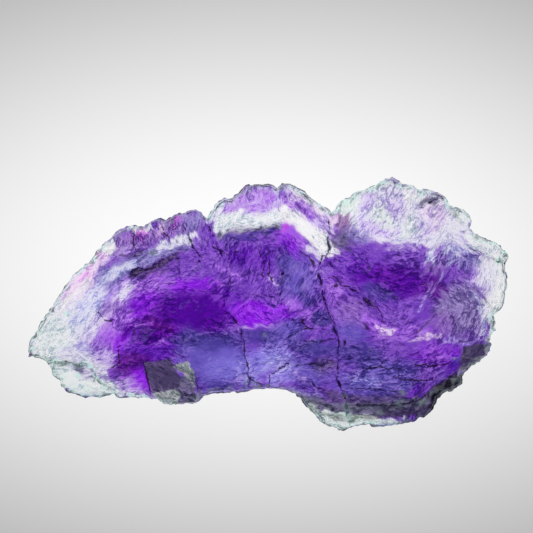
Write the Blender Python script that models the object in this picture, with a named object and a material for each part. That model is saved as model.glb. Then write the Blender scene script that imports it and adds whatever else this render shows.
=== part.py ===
# A rough slab of colour-banded fluorite, broken from a vein and lying on its back.
# X runs along the slab, +Y towards its ragged upper rim, and Z through its thickness.
# The origin is in the middle of the slab's box, on the surface that it rests on.
# Every size below is in millimetres. The mesh itself is in metres.

import math

import bmesh
import bpy
import numpy as np
from mathutils import Vector
from mathutils.geometry import delaunay_2d_cdt

MM = 0.001
SEED = 7

# How thick the three lobes are at their middle, and how the slab thins towards its rim
LENGTH = 110.0
WIDTH = 58.0
LEFT_THICKNESS = 6.0
MIDDLE_THICKNESS = 6.7
RIGHT_THICKNESS = 7.8
RIM_THICKNESS = 3.2
LEFT_TIP_THICKNESS = 2.2
LEAST_THICKNESS = 1.3
CROWN_WIDTH = 6.5
CROWN_POWER = 1.25
TIP_LENGTH = 16.0
TIP_SHARE = 0.62

# The broken rim slopes in from its outermost line, above and below
UPPER_BEVEL = (0.35, 0.85)
LOWER_BEVEL = (0.4, 1.1)
WAIST_SHARE = (0.3, 0.62)
RIM_STEP = 2.3
RIM_JITTER = 0.16

# Columnar ribs end in the upper rim, square to it: above a line of this slope and height, right of RIB_START
RIB_LINE = (0.18, 9.0)
RIB_START = -42.0
RIB_PITCH = 3.7
RIB_HEIGHT = 0.75
RIB_REACH = 5.5

# Flat-faced chips all over the broad face, coarse ones and fine ones on them
COARSE_CHIP = 7.0
COARSE_SLOPE = 0.4
FINE_CHIP = 3.4
FINE_SLOPE = 0.45
CHIP_SIDES = 4
CHIP_LEAN = 0.4
CHIP_SKEW = 0.3
CHIP_MEAN = 0.73
CHIP_AT_RIM = 0.35

# Hollows in the underside, between the lands that the slab rests on
HOLLOW_SIZE = 11.0
HOLLOW_SLOPE = 0.3
HOLLOW_DEPTH = 1.1
LAND_RADIUS = 7.0

# How far each thin layer of the lower right lobe steps down below the last, and how steeply
LAYER_DROP = 0.8
LAYER_RISER = 0.5

# The smooth scooped panel in the lower middle
SCOOP_CENTRE = (-12.2, -13.2)
SCOOP_RADII = (8.0, 6.8)
SCOOP_DEPTH = 1.7

# Point spacing of the faces
FACE_STEP = 1.66
FACE_JITTER = 0.3
FACE_GAP = 0.66
CRACK_GAP = 0.42
PIT_CORNERS = 6
CRACK_STEP = 1.25
CRACK_JITTER = 0.38
RAMP = 0.55
RIM_CLEARANCE = 1.35

# The outline, clockwise from the left tip, in runs that each follow one stretch of the rim
LEFT_SLOPE = [
    (-55, -12), (-54.9, -8.9), (-53.8, -7), (-52.4, -4.6), (-50, -1.3), (-48.5, 1.3), (-46.6, 4.2),
    (-44.7, 6.8), (-43.5, 7.8), (-40.7, 9.9), (-39.7, 11.4), (-37.2, 14.3), (-34.4, 17),
]
LEFT_CREST = [
    (-32.9, 17.5), (-30.6, 18.1), (-28.5, 17.8), (-27.4, 18.7), (-26.1, 19.5), (-24.7, 19.6),
    (-23.6, 19.1), (-22.5, 20), (-21.3, 20.6), (-19.2, 21), (-16.6, 21.8), (-15.6, 21), (-14.2, 19.8),
]
MIDDLE_CREST = [
    (-13, 21.6), (-11.7, 23.2), (-10.2, 24.3), (-9, 24), (-7.8, 24.7), (-5.9, 26.8), (-4.5, 27.4),
    (-1.4, 27.4), (1, 27.3), (1.9, 26.4), (3.1, 27.7), (4.9, 27.6), (6.5, 26.7), (8.2, 25.6),
    (9.8, 24.3), (11.6, 22.9), (14.3, 21.1),
]
RIGHT_CREST = [
    (15, 21.6), (15.9, 22.9), (16.8, 23.9), (18.5, 24.5), (20.6, 26), (22, 26.3), (23.3, 26.7),
    (25.5, 28), (28.2, 29), (29.2, 28.5), (30.3, 27.7), (32.7, 27.4), (34.5, 26.1), (36.2, 26.4),
    (37.9, 25.8), (39.5, 25.2), (40.7, 24.1), (41.3, 22.4),
]
RIGHT_EDGE = [
    (43.8, 22), (45.2, 21.1), (46.2, 20.2), (46.4, 19.1), (46.1, 17.3), (46.8, 16.5), (48.1, 15.7),
    (50.2, 14.7), (53.1, 13.3), (53.5, 12.3), (54.7, 11.6), (55, 10.8), (54, 9.4), (54.1, 8),
    (54.5, 6.2), (54.5, 4), (54, 1.5), (53.3, -0.8), (52, -2.1), (51.3, -2.6),
]
RIGHT_FOOT = [
    (51.6, -3.9), (51.5, -5.9), (50.8, -7.4), (50.3, -8.6), (50.8, -9.2), (50.4, -10.6), (49.6, -11.9),
    (48.2, -13.3), (46.3, -14.3), (45.3, -15.5), (44.3, -16.5), (44.6, -18.2), (43.1, -19.2),
    (41.9, -20.1), (40.2, -20.3), (38.8, -21.7), (37.8, -23.5), (37, -25.1), (35.9, -25.9),
    (34.3, -26.1), (32.7, -27), (31.2, -27.4), (28.5, -27.5), (24.4, -28.2), (23, -27.6),
    (20.3, -27.8), (16.8, -29), (13.1, -27.6), (11.7, -26.7),
]
ARCH = [
    (10.3, -25.1), (8.5, -23.1), (7.1, -21.5), (5.2, -20.2), (3, -19.5), (0.1, -19.3), (-3.2, -19.6),
    (-6.4, -20.2), (-9.7, -20.3), (-13, -20.4), (-15.2, -21.5), (-16.5, -22.7),
]
LEFT_FOOT = [
    (-18.4, -22.7), (-21.3, -23), (-24.1, -22.7), (-25.3, -21.8), (-27.2, -21.7), (-31.7, -21.3),
    (-34.1, -21.4), (-35.6, -20.5),
]
LEFT_FLAKES = [
    (-37.2, -21), (-39.4, -21.4), (-42.9, -21.2), (-45.9, -20.2), (-47.7, -18.6), (-47.7, -17.6),
    (-49.2, -16.6), (-49.9, -15.3), (-50.5, -13.8), (-51.6, -12.8), (-52.9, -12.4),
]
OUTLINE = (
    LEFT_SLOPE + LEFT_CREST + MIDDLE_CREST + RIGHT_CREST + RIGHT_EDGE + RIGHT_FOOT + ARCH
    + LEFT_FOOT + LEFT_FLAKES
)

# The two clefts that part the slab into its left lobe, middle lobe and right plate, from top to bottom
LEFT_CLEFT = [
    (-14.2, 19.8), (-13.1, 16.4), (-12, 14), (-10.8, 11.5), (-9, 9.1), (-8.8, 5.8), (-9.1, 3.2),
    (-10, 0.5), (-9.8, -1.5), (-7.9, -3.2), (-6.1, -6), (-6.3, -9), (-5.7, -11.9), (-4.9, -13.5),
    (-5.1, -16.2), (-3.1, -19.2),
]
RIGHT_SEAM = [
    (14.3, 21.1), (13.8, 18.8), (13.6, 15.8), (13.8, 12.8), (11.8, 9.8), (11.3, 6.6), (12, 4.4),
    (12.2, 2.1), (12.8, 0), (13.6, -2), (14.7, -4.1), (15.2, -6.4), (15.8, -8.2), (15.6, -10.5),
    (15.5, -13.2), (15.4, -16), (16.3, -19.2), (17.2, -20.8), (17.8, -24.2), (18.4, -28.3),
]

# Where the thin layers of the lower right lobe end, one below the other, from left to right
LAYER_EDGES = [
    [(16.5, -11.8), (21, -10.9), (26, -12.3), (31, -11.3), (37, -12.5), (43, -11.6), (50, -12.6)],
    [(17, -16.8), (21.5, -15.4), (26.5, -16.9), (30, -15.7), (36, -17.4), (39.5, -16.5), (46, -17.2)],
    [(17.5, -20.2), (23, -21.6), (29, -20.3), (34.5, -22), (40.5, -20.7)],
    [(18, -25.2), (23, -24.2), (29.5, -25.6), (36.5, -24.8)],
]

# Open cracks: the points, how deep, and how far the walls reach to either side
CRACKS = {
    "left_cleft": (LEFT_CLEFT, 0.75, 0.5),
    "right_seam": (RIGHT_SEAM, 0.9, 0.5),
    "seam_branch": ([(12.9, 11), (14.4, 8.5), (16.3, 7.2)], 0.6, 0.45),
    "middle_crack": ([(3.1, 7.1), (2.9, 1.2), (3.3, -1.1), (5.7, -3.5), (9.2, -5.4)], 0.7, 0.48),
    "upper_arc": (
        [(-31.9, 7.1), (-29.7, 8.3), (-27.2, 7.9), (-25.1, 9.4), (-23.8, 11.1), (-21, 11.3), (-20.2, 9.6),
         (-20.2, 5.4)],
        0.7, 0.5,
    ),
    "left_notch": ([(-19, 17.2), (-17, 12.8), (-15.6, 9.8), (-14, 12.8)], 0.6, 0.45),
    "plate_crevice": ([(20.8, 0.3), (22.4, -0.1), (24.4, -0.6), (25.7, -2.6)], 0.9, 0.5),
    "plate_scar": ([(15.5, 4), (18.5, 3.3), (21.2, 3)], 0.6, 0.45),
    "lower_scar": ([(23.9, -14.2), (25.7, -13.2), (27.5, -11.7)], 0.7, 0.5),
    "seam_spur": ([(17.1, -8.5), (17.4, -11), (18.3, -11.7)], 0.6, 0.45),
    "rim_crack": ([(43.3, 16.7), (46.3, 16.9)], 0.7, 0.45),
    "edge_crack": ([(45.6, 13), (47.8, 12.1), (49.7, 10.8), (53.5, 9.6)], 0.8, 0.5),
    "top_fold": ([(34.2, 21.9), (36.5, 23.1), (38.6, 24)], 0.7, 0.45),
    "panel_edge": ([(-22.8, -6.5), (-20, -7.8), (-19.2, -12), (-16.6, -17.4)], 0.5, 0.45),
}

# Plates that stand proud of the lobe they are on (or lie lower, where the rise is negative)
PLATES = {
    "left_shelf": (
        [(-54.4, -12.7), (-50.5, -12.9), (-47.7, -12.8), (-45, -13.2), (-42.2, -13), (-40.4, -13.6),
         (-38.6, -16.4), (-36.4, -19.4), (-35.4, -22.5), (-48, -22.5)],
        -2.3,
    ),
    "foot_block": (
        [(-28.4, -13.2), (-25.5, -12.4), (-23, -12.4), (-22.1, -13.5), (-20.3, -14.2), (-17.5, -15.5),
         (-16.6, -17.4), (-15.7, -20.1), (-15.9, -24), (-28, -24), (-27, -20)],
        1.1,
    ),
    "front_plate": (
        [(32.1, -7), (36.5, -2.6), (42, 0.6), (47.8, 2.6), (48.5, 1.9), (50.4, -0.3), (52.6, -3.2),
         (52.6, -8.3), (48.4, -8.4), (45.1, -8.8), (43.3, -8.2), (40.8, -6.5), (38.2, -7.2), (35, -7.2)],
        1.1,
    ),
    "arch_plate": (
        [(-4.9, -13.5), (-3, -11.6), (-0.6, -12.4), (1.4, -11.9), (4.7, -13.1), (4.8, -16.8), (0.6, -17),
         (0.2, -20.5), (-3.4, -20.5), (-4.9, -18)],
        -1.0,
    ),
    "upper_chip": ([(26.6, 17.2), (29.6, 19.9), (33.6, 20.6), (36.4, 17.6), (33, 14.6), (28.4, 14.6)], 0.8),
    "inner_chip": ([(3.7, 3.2), (6.1, 2.4), (8.2, -1.2), (5.4, -1.9), (3.5, -0.5)], 0.9),
    "slope_flake": (
        [(-46.2, 1.9), (-42.4, 4.2), (-38.8, 6.9), (-34.6, 6.1), (-36.2, 2.2), (-41.4, -0.9), (-45.6, -1.8)],
        0.8,
    ),
}

# Pits: centre, radius, depth
PITS = {
    "seam_pit": ((12.2, -3.3), 2.1, 1.9),
    "rim_pit": ((32.9, 24.2), 1.6, 0.5),
    "shelf_pit_1": ((-42.9, -14.8), 1.2, 0.9),
    "shelf_pit_2": ((-39.9, -17.4), 1.2, 0.9),
    "slope_pit": ((-13.8, 8.2), 1.1, 0.8),
    "foot_pit": ((37.4, -20.6), 2.2, 1.3),
}


def segments(line, closed):
    points = np.array(line, float)
    ends = np.roll(points, -1, axis=0) if closed else points[1:]
    return (points, ends) if closed else (points[:-1], ends)


def nearest(points, line, closed=False):
    # Distance of each point to the line, and how far along the line the nearest place is
    starts, ends = segments(line, closed)
    runs = ends - starts
    lengths = np.linalg.norm(runs, axis=1)
    before = np.concatenate([[0.0], np.cumsum(lengths)[:-1]])
    offsets = points[:, None, :] - starts[None, :, :]
    share = np.clip((offsets * runs).sum(axis=2) / lengths**2, 0, 1)
    gaps = np.linalg.norm(offsets - share[..., None] * runs, axis=2)
    best = gaps.argmin(axis=1)
    rows = np.arange(len(points))
    return gaps[rows, best], before[best] + share[rows, best] * lengths[best]


def inside(points, polygon):
    starts, ends = segments(polygon, True)
    x, y = points[:, 0][:, None], points[:, 1][:, None]
    crosses = (starts[:, 1] > y) != (ends[:, 1] > y)
    rise = ends[:, 1] - starts[:, 1]
    safe = np.where(np.abs(rise) < 1e-9, 1e-9, rise)
    reach = starts[:, 0] + (y - starts[:, 1]) / safe * (ends[:, 0] - starts[:, 0])
    return (crosses & (x < reach)).sum(axis=1) % 2 == 1


def depth_inside(points, polygon):
    gap, _ = nearest(points, polygon, closed=True)
    return np.where(inside(points, polygon), gap, -gap)


def refine(line, step, closed, rng=None, jitter=RIM_JITTER):
    # The line with its long stretches divided, moved in and out a little where it is broken
    starts, ends = segments(line, closed)
    out = []
    for start, end in zip(starts, ends):
        run = end - start
        length = np.linalg.norm(run)
        parts = max(1, math.ceil(length / step))
        normal = np.array([-run[1], run[0]]) / length
        for i in range(parts):
            jog = 0.0 if rng is None or i == 0 else rng.uniform(-jitter, jitter)
            out.append(start + run * i / parts + normal * jog)
    if not closed:
        out.append(ends[-1])
    return np.array(out)


def chips(points, size, slope, seed):
    # Flat faces that meet in ridges: the lowest of many tilted four-sided cones
    rng = np.random.default_rng(seed)
    reach = np.array([LENGTH, WIDTH]) / 2 + size
    count = int(4 * reach.prod() / size**2)
    centres = rng.uniform(-reach, reach, (count, 2))
    heights = rng.uniform(0, size * slope, count)
    turns = rng.uniform(0, math.pi, count)
    leans = rng.uniform(-CHIP_LEAN * slope, CHIP_LEAN * slope, (count, 2))
    offsets = points[:, None, :] - centres[None, :, :]
    cone = np.full(offsets.shape[:2], -1e9)
    for side in range(CHIP_SIDES):
        angle = turns + side * math.tau / CHIP_SIDES + rng.uniform(-CHIP_SKEW, CHIP_SKEW, count)
        cone = np.maximum(cone, offsets[..., 0] * np.cos(angle) + offsets[..., 1] * np.sin(angle))
    relief = (heights + slope * cone + (offsets * leans).sum(axis=2)).min(axis=1)
    return relief - CHIP_MEAN * size * slope


def jagged(line):
    # A crack never runs straight: the same line each time, with its stretches broken up
    return refine(line, CRACK_STEP, False, np.random.default_rng(SEED + 4), CRACK_JITTER)


def right_of(points, line):
    # How far right each point is of a line that runs down the slab
    xs, ys = np.array(line)[::-1].T
    return points[:, 0] - np.interp(points[:, 1], ys, xs)


def lobe_thickness(points):
    # Each lobe's own thickness, with a short ramp where one lobe gives way to the next
    past_cleft = np.clip(right_of(points, LEFT_CLEFT) / RAMP, 0, 1)
    past_seam = np.clip(right_of(points, RIGHT_SEAM) / RAMP, 0, 1)
    thickness = LEFT_THICKNESS + (MIDDLE_THICKNESS - LEFT_THICKNESS) * past_cleft
    return thickness + (RIGHT_THICKNESS - MIDDLE_THICKNESS) * past_seam


def layers(points):
    # Thin layers that end one below the other towards the lower right rim
    steps = []
    for edge in LAYER_EDGES:
        xs, ys = zip(*edge)
        steps.append(np.clip((np.interp(points[:, 0], xs, ys) - points[:, 1]) / LAYER_RISER, 0, 1))
    return np.where(right_of(points, RIGHT_SEAM) > 0, LAYER_DROP * sum(steps), 0)


def top_height(points):
    to_rim, along = nearest(points, OUTLINE, closed=True)
    tip = np.clip((points[:, 0] + LENGTH / 2) / TIP_LENGTH, 0, 1)
    rim = LEFT_TIP_THICKNESS + (RIM_THICKNESS - LEFT_TIP_THICKNESS) * tip
    swell = 1 - np.exp(-((to_rim / CROWN_WIDTH) ** CROWN_POWER))
    height = rim + (lobe_thickness(points) * (TIP_SHARE + (1 - TIP_SHARE) * tip) - rim) * swell

    height += chips(points, COARSE_CHIP, COARSE_SLOPE, SEED) * (CHIP_AT_RIM + (1 - CHIP_AT_RIM) * swell)
    height += chips(points, FINE_CHIP, FINE_SLOPE, SEED + 1)

    on_crest = (points[:, 1] > RIB_LINE[0] * points[:, 0] + RIB_LINE[1]) & (points[:, 0] > RIB_START)
    rib = np.abs(2 * ((along / RIB_PITCH) % 1) - 1)
    height += np.where(on_crest, RIB_HEIGHT * (rib - 0.5) * np.exp(-to_rim / RIB_REACH), 0)

    scoop = ((points - SCOOP_CENTRE) / SCOOP_RADII) ** 2
    height -= SCOOP_DEPTH * np.clip(1 - scoop.sum(axis=1), 0, 1)
    height -= layers(points)
    for line, depth, reach in CRACKS.values():
        gap, _ = nearest(points, jagged(line))
        height -= depth * np.clip(1 - gap / reach, 0, 1)
    for polygon, rise in PLATES.values():
        height += rise * np.clip(depth_inside(points, polygon) / RAMP, 0, 1)
    for centre, radius, depth in PITS.values():
        gap, _ = nearest(points, [centre, np.add(centre, MM)])
        height -= depth * np.clip(1 - gap / radius, 0, 1)
    return np.maximum(height, LEAST_THICKNESS + under_height(points))


def under_height(points):
    # Lands at the level it rests on, with flat-faced hollows between them
    hollow = chips(points, HOLLOW_SIZE, HOLLOW_SLOPE, SEED + 2)
    from_middle = np.linalg.norm(points, axis=1)
    fade = np.clip((from_middle - LAND_RADIUS) / LAND_RADIUS, 0, 1)
    return np.clip(hollow, 0, HOLLOW_DEPTH) * fade


def face_points(rim):
    # Points for the broad faces: beside each crack and ledge first, then an even fill between them
    rng = np.random.default_rng(SEED)
    lines = [(jagged(line), False, reach) for line, _, reach in CRACKS.values()]
    lines += [(polygon, True, RAMP) for polygon, _ in PLATES.values()]
    lines += [(refine(edge, CRACK_STEP, False), False, LAYER_RISER) for edge in LAYER_EDGES]
    wanted = []
    for line, closed, reach in lines:
        fine = refine(line, CRACK_STEP, closed) if closed else np.array(line, float)
        ahead = np.roll(fine, -1, axis=0) - np.roll(fine, 1, axis=0)
        if not closed:
            ahead[0], ahead[-1] = fine[1] - fine[0], fine[-1] - fine[-2]
        normal = np.column_stack([-ahead[:, 1], ahead[:, 0]]) / np.linalg.norm(ahead, axis=1)[:, None]
        wanted += [fine, fine + normal * reach, fine - normal * reach]
    for centre, radius, _ in PITS.values():
        turns = np.arange(PIT_CORNERS) * math.tau / PIT_CORNERS
        ring = np.column_stack([np.cos(turns), np.sin(turns)])
        wanted += [np.array([centre]), centre + radius * ring]

    rows = np.arange(-WIDTH / 2, WIDTH / 2, FACE_STEP * math.sin(math.pi / 3))
    grid = [
        (x + (FACE_STEP / 2 if i % 2 else 0), y)
        for i, y in enumerate(rows)
        for x in np.arange(-LENGTH / 2, LENGTH / 2, FACE_STEP)
    ]
    fill = np.array(grid) + rng.uniform(-FACE_JITTER, FACE_JITTER, (len(grid), 2)) * FACE_STEP

    kept = []
    for points, gap in [(np.concatenate(wanted), CRACK_GAP), (fill, FACE_GAP * FACE_STEP)]:
        to_rim, _ = nearest(points, rim, closed=True)
        points = points[inside(points, rim) & (to_rim > RIM_CLEARANCE)]
        for point in points:
            if not kept or np.linalg.norm(np.array(kept) - point, axis=1).min() > gap:
                kept.append(point)
    return np.array(kept)


def flat_sheet(mesh, rim, middle):
    # One flat sheet of triangles in the outline of the slab
    points = [Vector(p) for p in np.concatenate([rim, middle])]
    loop = list(range(len(rim)))
    found, _, faces, *_ = delaunay_2d_cdt(points, [], [loop], 1, 1e-6)
    verts = [mesh.verts.new((p.x, p.y, 0)) for p in found]
    for face in faces:
        mesh.faces.new([verts[i] for i in face])
    bmesh.ops.recalc_face_normals(mesh, faces=mesh.faces)


def inward(rim):
    ahead = np.roll(rim, -1, axis=0) - np.roll(rim, 1, axis=0)
    return np.column_stack([ahead[:, 1], -ahead[:, 0]]) / np.linalg.norm(ahead, axis=1)[:, None]


def build_slab():
    rng = np.random.default_rng(SEED + 3)
    rim = refine(OUTLINE, RIM_STEP, True, rng)
    mesh = bmesh.new()
    flat_sheet(mesh, rim, face_points(rim))

    raised = bmesh.ops.extrude_face_region(mesh, geom=list(mesh.faces), use_keep_orig=True)["geom"]
    lifted = [v for v in raised if isinstance(v, bmesh.types.BMVert)]
    bmesh.ops.translate(mesh, vec=(0, 0, RIM_THICKNESS), verts=lifted)
    uprights = [e for e in mesh.edges if e.verts[0].co.z != e.verts[1].co.z]
    bmesh.ops.subdivide_edges(mesh, edges=uprights, cuts=1)
    middle = RIM_THICKNESS / 2
    waist = {v for v in mesh.verts if math.isclose(v.co.z, middle, abs_tol=MM)}
    under = [v for v in mesh.verts if v not in waist and v.co.z < middle]
    top = [v for v in mesh.verts if v not in waist and v.co.z > middle]

    mesh.verts.index_update()
    slopes = inward(rim)
    corners = []
    for vert in sorted(waist, key=lambda v: v.index):
        ends = [e.other_vert(vert) for e in vert.link_edges if e.other_vert(vert) not in waist]
        low, high = sorted(ends, key=lambda v: v.co.z)
        corners.append((low, vert, high))
    for group, heights in ((top, top_height), (under, under_height)):
        flat = np.array([v.co.xy for v in group])
        for vert, z in zip(group, heights(flat)):
            vert.co.z = z
    for low, vert, high in corners:
        spot = np.argmin(((rim - np.array(vert.co.xy)) ** 2).sum(axis=1))
        slope = Vector((*slopes[spot], 0))
        low.co += slope * rng.uniform(*LOWER_BEVEL)
        high.co += slope * rng.uniform(*UPPER_BEVEL)
        vert.co.z = low.co.z + (high.co.z - low.co.z) * rng.uniform(*WAIST_SHARE)

    bmesh.ops.triangulate(mesh, faces=mesh.faces)
    bmesh.ops.recalc_face_normals(mesh, faces=mesh.faces)
    bmesh.ops.scale(mesh, vec=(MM, MM, MM), verts=mesh.verts)
    return mesh


def fluorite():
    material = bpy.data.materials.new("fluorite")
    material.use_nodes = True
    shader = material.node_tree.nodes["Principled BSDF"]
    shader.inputs["Base Color"].default_value = (0.19, 0.06, 0.52, 1)
    shader.inputs["Roughness"].default_value = 0.22
    shader.inputs["Metallic"].default_value = 0
    shader.inputs["IOR"].default_value = 1.434
    shader.inputs["Transmission Weight"].default_value = 0.7
    return material


def main():
    for obj in list(bpy.data.objects):
        bpy.data.objects.remove(obj)
    mesh = build_slab()
    data = bpy.data.meshes.new("fluorite_slab")
    mesh.to_mesh(data)
    mesh.free()
    data.materials.append(fluorite())
    slab = bpy.data.objects.new("fluorite_slab", data)
    bpy.context.scene.collection.objects.link(slab)


main()
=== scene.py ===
# A rough slab of banded purple fluorite, lying on a pale lit table and seen from straight above.
import math

import bmesh
import bpy
import numpy as np
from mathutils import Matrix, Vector, kdtree, noise


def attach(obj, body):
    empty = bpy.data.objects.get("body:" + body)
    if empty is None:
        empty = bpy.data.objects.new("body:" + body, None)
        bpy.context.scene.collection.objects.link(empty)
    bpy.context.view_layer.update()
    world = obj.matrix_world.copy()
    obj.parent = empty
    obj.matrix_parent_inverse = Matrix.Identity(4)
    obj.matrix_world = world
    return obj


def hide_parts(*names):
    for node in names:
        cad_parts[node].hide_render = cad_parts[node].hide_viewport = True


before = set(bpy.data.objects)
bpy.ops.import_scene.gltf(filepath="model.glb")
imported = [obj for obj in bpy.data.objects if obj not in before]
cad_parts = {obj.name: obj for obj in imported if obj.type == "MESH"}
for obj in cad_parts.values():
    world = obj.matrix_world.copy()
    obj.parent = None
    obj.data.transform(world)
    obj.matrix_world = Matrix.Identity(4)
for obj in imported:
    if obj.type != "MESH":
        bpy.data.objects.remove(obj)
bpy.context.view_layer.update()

mm = 0.001

# The same noise in every run
noise.seed_set(7)


def feed(tree, socket, value):
    if isinstance(value, bpy.types.NodeSocket):
        tree.links.new(value, socket)
    else:
        socket.default_value = value


def addNode(tree, kind, **values):
    node = tree.nodes.new(kind)
    for name, value in values.items():
        feed(tree, node.inputs[name], value)
    return node


def calc(tree, operation, *values):
    node = tree.nodes.new("ShaderNodeMath")
    node.operation = operation
    for socket, value in zip(node.inputs, values):
        feed(tree, socket, value)
    return node.outputs[0]


def calcVector(tree, operation, *values):
    node = tree.nodes.new("ShaderNodeVectorMath")
    node.operation = operation
    for socket, value in zip(node.inputs, values):
        feed(tree, socket, value)
    return node.outputs["Value" if operation in ("DOT_PRODUCT", "LENGTH") else "Vector"]


def weigh(tree, *parts):
    # Sum of values, each with its own weight
    total = 0.0
    for value, weight in parts:
        total = calc(tree, "MULTIPLY_ADD", value, weight, total)
    return total


def between(tree, share, low, high):
    return calc(tree, "MULTIPLY_ADD", share, high - low, low)


def remap(tree, value, low, high, start=0.0, end=1.0):
    node = tree.nodes.new("ShaderNodeMapRange")
    node.interpolation_type = "SMOOTHSTEP"
    names = ("Value", "From Min", "From Max", "To Min", "To Max")
    for name, part in zip(names, (value, low, high, start, end)):
        feed(tree, node.inputs[name], part)
    return node.outputs["Result"]


def blend(tree, mode, share, first, second):
    # The colour sockets of this node go by number, because its other kinds have the same names
    node = tree.nodes.new("ShaderNodeMix")
    node.data_type = "RGBA"
    node.blend_type = mode
    for number, value in ((0, share), (6, first), (7, second)):
        feed(tree, node.inputs[number], value)
    return node.outputs[2]


cameraSetup = {
    "frameWidth": 121.8 * mm,  # what the square picture spans at the slab
    "aim": (-0.5 * mm, 8.6 * mm),
    "level": 2.0 * mm,  # height of the slab's widest line
    "lens": 100.0,
    "sensor": 36.0,
}


def makeCamera():
    data = bpy.data.cameras.new("camera")
    data.lens = cameraSetup["lens"]
    data.sensor_width = cameraSetup["sensor"]
    data.clip_start = 0.01
    camera = bpy.data.objects.new("camera", data)
    distance = cameraSetup["frameWidth"] * cameraSetup["lens"] / cameraSetup["sensor"]
    camera.location = (*cameraSetup["aim"], cameraSetup["level"] + distance)
    bpy.context.scene.collection.objects.link(camera)
    bpy.context.scene.camera = camera
    print("camera placed")


stageSetup = {
    "radius": 3.0,
    "drop": 0.02 * mm,  # keeps the table clear of the slab's underside
    "glow": 0.975,  # the table is lit from below, as for a see-through stone
    "glowEdge": 0.3,
    "glowCentre": (-0.5 * mm, 8.6 * mm, 0),
    "glowShape": (0.55, 1, 1),
    "glowReach": (8 * mm, 105 * mm),
    "paint": (0.06, 0.06, 0.06, 1),
    "roughness": 0.6,
    "shine": 0.2,
}


def makeTable():
    sheet = bmesh.new()
    bmesh.ops.create_circle(sheet, cap_ends=True, segments=96, radius=stageSetup["radius"])
    data = bpy.data.meshes.new("table")
    sheet.to_mesh(data)
    sheet.free()
    table = bpy.data.objects.new("table", data)
    table.location = (0, 0, -stageSetup["drop"])
    bpy.context.scene.collection.objects.link(table)

    material = bpy.data.materials.new("litTable")
    material.use_nodes = True
    tree = material.node_tree
    shader = tree.nodes["Principled BSDF"]
    shader.inputs["Base Color"].default_value = stageSetup["paint"]
    shader.inputs["Roughness"].default_value = stageSetup["roughness"]
    shader.inputs["Specular IOR Level"].default_value = stageSetup["shine"]
    shader.inputs["Emission Strength"].default_value = 1.0
    place = addNode(tree, "ShaderNodeTexCoord").outputs["Object"]
    place = calcVector(tree, "SUBTRACT", place, stageSetup["glowCentre"])
    place = calcVector(tree, "MULTIPLY", place, stageSetup["glowShape"])
    reach = calcVector(tree, "LENGTH", place)
    glow = remap(tree, reach, *stageSetup["glowReach"], stageSetup["glow"], stageSetup["glowEdge"])
    tree.links.new(glow, shader.inputs["Emission Color"])
    data.materials.append(material)
    print("table laid")


lightSetup = {
    "sky": (0.9, 0.92, 0.95, 1),
    "skyStrength": 0.12,
    "softbox": {"place": (-0.4, 0.5, 0.3), "size": 0.6, "watts": 1.5},
}


def makeLight():
    world = bpy.data.worlds.new("studio")
    world.use_nodes = True
    sky = world.node_tree.nodes["Background"]
    sky.inputs["Color"].default_value = lightSetup["sky"]
    sky.inputs["Strength"].default_value = lightSetup["skyStrength"]
    bpy.context.scene.world = world
    box = lightSetup["softbox"]
    data = bpy.data.lights.new("softbox", "AREA")
    data.size = box["size"]
    data.energy = box["watts"]
    lamp = bpy.data.objects.new("softbox", data)
    lamp.location = box["place"]
    lamp.rotation_euler = (-Vector(box["place"])).to_track_quat("-Z", "Y").to_euler()
    bpy.context.scene.collection.objects.link(lamp)
    bpy.context.scene.view_settings.view_transform = "Standard"
    print("lights set")


slabSetup = {
    "rounds": 3,
    "litFrom": (-0.55, 0.83, 0),  # faces that lean this way let more light through
    "broadUp": 0.35,  # faces that point up more than this belong to the broad face
    "underUp": -0.5,  # and those that point up less than this to the underside
    "broadStep": 0.45 * mm,  # longest edge left on the broad face, the rim and the underside
    "rimStep": 0.7 * mm,
    "underStep": 1.5 * mm,
    "chipSize": 1.5 * mm,
    "chipBend": 0.35,
    "chipHeight": 0.256 * mm,
    "rippleSize": 0.8 * mm,
    "rippleHeight": 0.05 * mm,
    "toothSize": 0.9 * mm,
    "rimTooth": 0.4 * mm,
    "rimReach": (0.1, 1.0),  # where the painted glints and shade of the rim fade out, and how ragged that is, in millimetres
    "rimFray": 0.9,
    "crackReach": (0.8, 1.5),  # how far from its line an open crack may show, in millimetres
    "hairReach": (0.3, 1.3),  # where a hair crack fades out, in its own half widths
    "relief": 0.8,  # mean strength of the small relief, and how much it comes and goes
    "reliefSpread": 0.75,
}

palette = {
    "white": (1.0, 1.0, 1.0),
    "ice": (0.95, 1.0, 1.0),
    "mist": (0.90, 0.88, 1.0),
    "blush": (0.94, 0.78, 1.0),
    "lilac": (0.73, 0.57, 0.96),
    "pink": (0.97, 0.70, 1.0),
    "magenta": (0.87, 0.26, 0.91),
    "haze": (0.76, 0.77, 1.0),
    "steel": (0.50, 0.46, 0.77),
    "amethyst": (0.53, 0.35, 0.75),
    "orchid": (0.68, 0.38, 0.96),
    "violet": (0.46, 0.25, 0.77),
    "vivid": (0.57, 0.10, 0.96),
    "royal": (0.36, 0.08, 0.72),
    "deep": (0.30, 0.0, 0.60),
    "plum": (0.31, 0.02, 0.51),
    "indigo": (0.27, 0.22, 0.58),
    "blue": (0.40, 0.33, 0.75),
    "periwinkle": (0.57, 0.52, 0.95),
    "dusk": (0.54, 0.46, 0.74),
    "slate": (0.29, 0.25, 0.40),
    "ink": (0.09, 0.06, 0.15),
    "moss": (0.54, 0.62, 0.55),
    "paleMoss": (0.86, 0.96, 0.89),
    "sage": (0.34, 0.36, 0.43),
    "wine": (0.47, 0.26, 0.46),
}

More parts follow.
